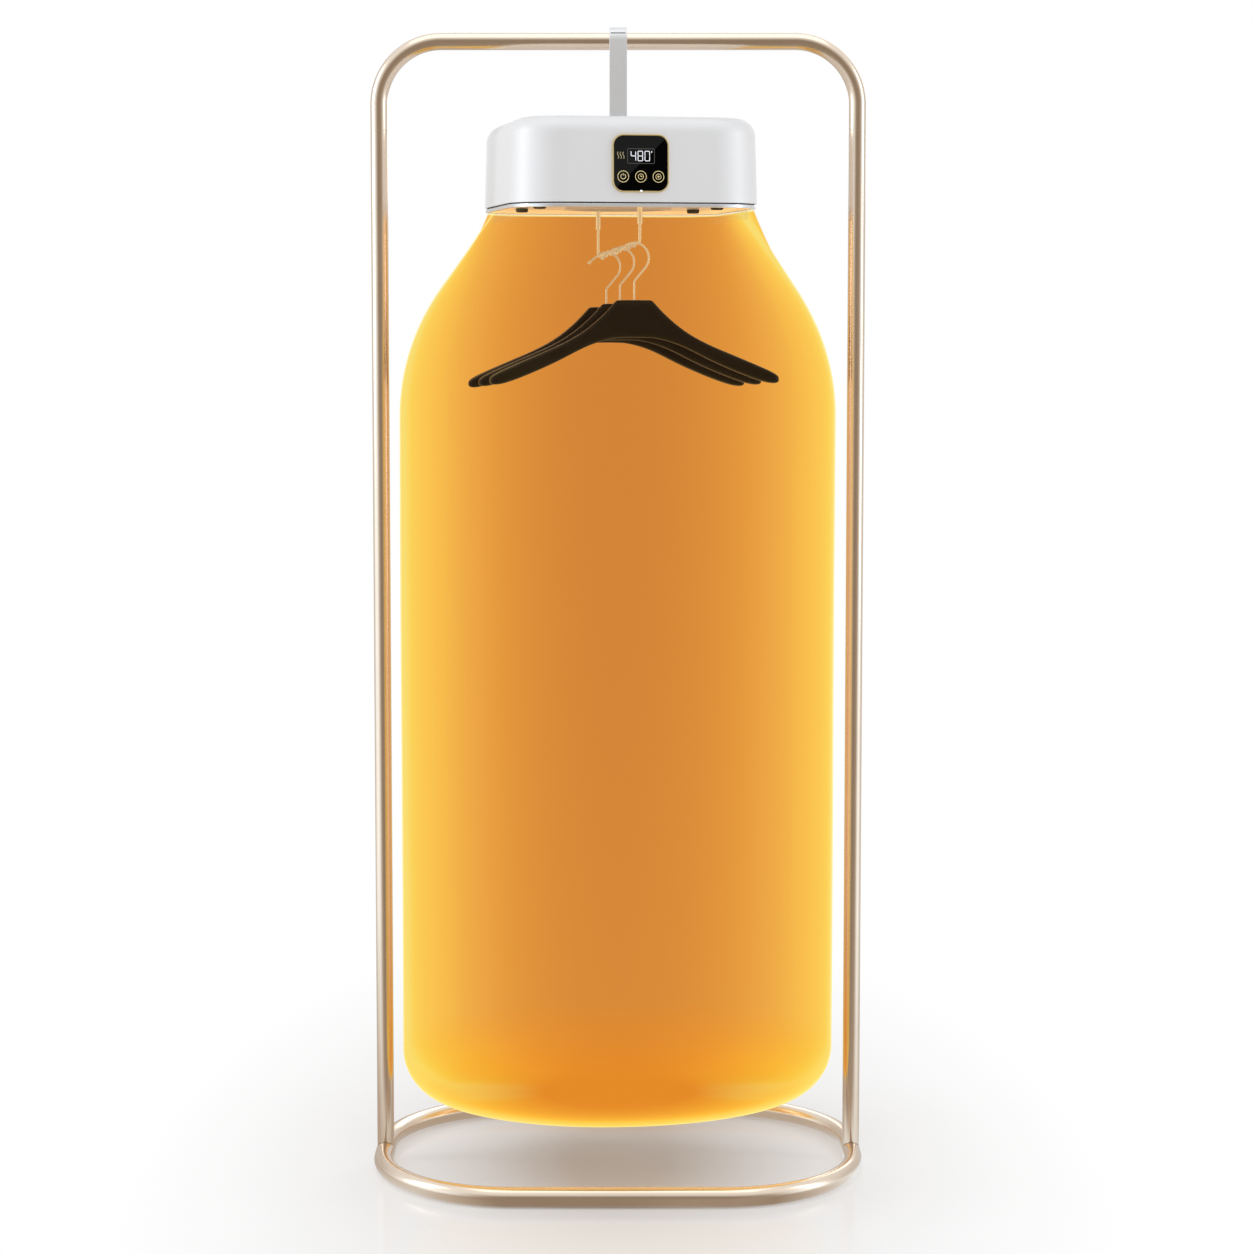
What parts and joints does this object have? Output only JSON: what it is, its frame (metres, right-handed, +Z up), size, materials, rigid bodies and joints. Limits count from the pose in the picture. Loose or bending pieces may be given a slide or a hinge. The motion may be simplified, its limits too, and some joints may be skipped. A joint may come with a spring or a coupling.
{
  "type": "portable clothes dryer",
  "caption": "Fan heater head hung by a strap hook from an arched tube stand, with a warm-air cover bag round a wavy rail for clothes hangers.",
  "frame": {"origin": "on the floor, at the centre of the base ring", "axes": "+Z up, +X to the right along the top bar, -Y towards the front of the stand"},
  "size_m": [0.682, 0.4608, 1.58],
  "materials": {
    "champagne_tube": "satin champagne gold",
    "rail_wire": "pale gold plated wire",
    "strap_steel": "satin silver grey",
    "zinc_hardware": "zinc plated",
    "shell_white": "gloss white",
    "trim_silver": "gloss silver white",
    "plate_grey": "fine matte grey",
    "plastic_dark": "matte black",
    "rubber_black": "matte black",
    "panel_glass": "polished black",
    "panel_gold": "polished gold",
    "heater_fins": "bare fins",
    "heater_frame": "brown heat-proof moulding",
    "board_green": "satin green",
    "hanger_black": "satin black",
    "bag_film": "translucent amber coated cloth"
  },
  "bodies": {
    "stand": {"base_ring": "champagne_tube", "top_bar": "champagne_tube", "left_post": "champagne_tube", "right_post": "champagne_tube", "left_joint_sleeve": "zinc_hardware", "right_joint_sleeve": "zinc_hardware", "left_post_plug": "zinc_hardware", "right_post_plug": "zinc_hardware", "left_base_bolt": "zinc_hardware", "right_base_bolt": "zinc_hardware", "left_joint_screw": "zinc_hardware", "right_joint_screw": "zinc_hardware"},
    "hook": {"strap_hook": "strap_steel", "hook_liner": "rubber_black", "swivel_bolt": "zinc_hardware", "swivel_nut": "zinc_hardware"},
    "head": {"top_shell": "shell_white", "trim_ring": "trim_silver", "bottom_plate": "plate_grey", "outlet_grille": "plate_grey", "swivel_seat": "trim_silver", "intake_filter": "plastic_dark", "case_screw_front_left": "zinc_hardware", "case_screw_front_right": "zinc_hardware", "case_screw_rear_left": "zinc_hardware", "case_screw_rear_right": "zinc_hardware", "rubber_foot_front_left": "rubber_black", "rubber_foot_front_right": "rubber_black", "rubber_foot_rear_left": "rubber_black", "rubber_foot_rear_right": "rubber_black", "fan_shroud": "plastic_dark", "heater_frame": "heater_frame", "heater_core": "heater_fins", "fan_motor": "zinc_hardware", "motor_bracket": "zinc_hardware", "thermal_cutout": "plastic_dark", "power_board": "board_green", "power_inlet": "plastic_dark", "panel_bezel": "panel_gold", "panel_glass": "panel_glass", "panel_tub": "plastic_dark", "display_module": "plastic_dark", "control_board": "board_green", "hanging_rail": "rail_wire", "front_rail_socket": "rail_wire", "rear_rail_socket": "rail_wire"},
    "fan": {"fan_impeller": "plastic_dark", "motor_shaft": "zinc_hardware"},
    "front_hanger": {"front_hanger_hook": "rail_wire", "front_hanger_body": "hanger_black"},
    "middle_hanger": {"middle_hanger_hook": "rail_wire", "middle_hanger_body": "hanger_black"},
    "rear_hanger": {"rear_hanger_hook": "rail_wire", "rear_hanger_body": "hanger_black"},
    "bag": {"cover_bag": "bag_film"}
  },
  "joints": [
    {"name": "hook_swing", "type": "hinge", "parent": "stand", "child": "hook", "pos_m": [0, 0, 1.561], "axis": [1, 0, 0], "range_deg": [-8, 8]},
    {"name": "head_swivel", "type": "hinge", "parent": "hook", "child": "head", "pos_m": [0, 0, 1.45], "axis": [0, 0, 1], "range_deg": [-90, 90]},
    {"name": "fan_spin", "type": "hinge", "parent": "head", "child": "fan", "pos_m": [0, 0, 1.375], "axis": [0, 0, 1], "continuous": true},
    {"name": "front_hanger_swing", "type": "hinge", "parent": "head", "child": "front_hanger", "pos_m": [0.02137, -0.10994, 1.27983], "axis": [-0.1908, 0.9816, 0], "range_deg": [-5, 5]},
    {"name": "middle_hanger_swing", "type": "hinge", "parent": "head", "child": "middle_hanger", "pos_m": [0.00229, -0.01178, 1.27516], "axis": [-0.1908, 0.9816, 0], "range_deg": [-12, 12]},
    {"name": "rear_hanger_swing", "type": "hinge", "parent": "head", "child": "rear_hanger", "pos_m": [-0.01679, 0.08638, 1.27049], "axis": [-0.1908, 0.9816, 0], "range_deg": [-10, 10]},
    {"name": "bag_drop", "type": "slide", "parent": "head", "child": "bag", "axis": [0, 0, -1], "range_m": [0, 0.03]}
  ]
}
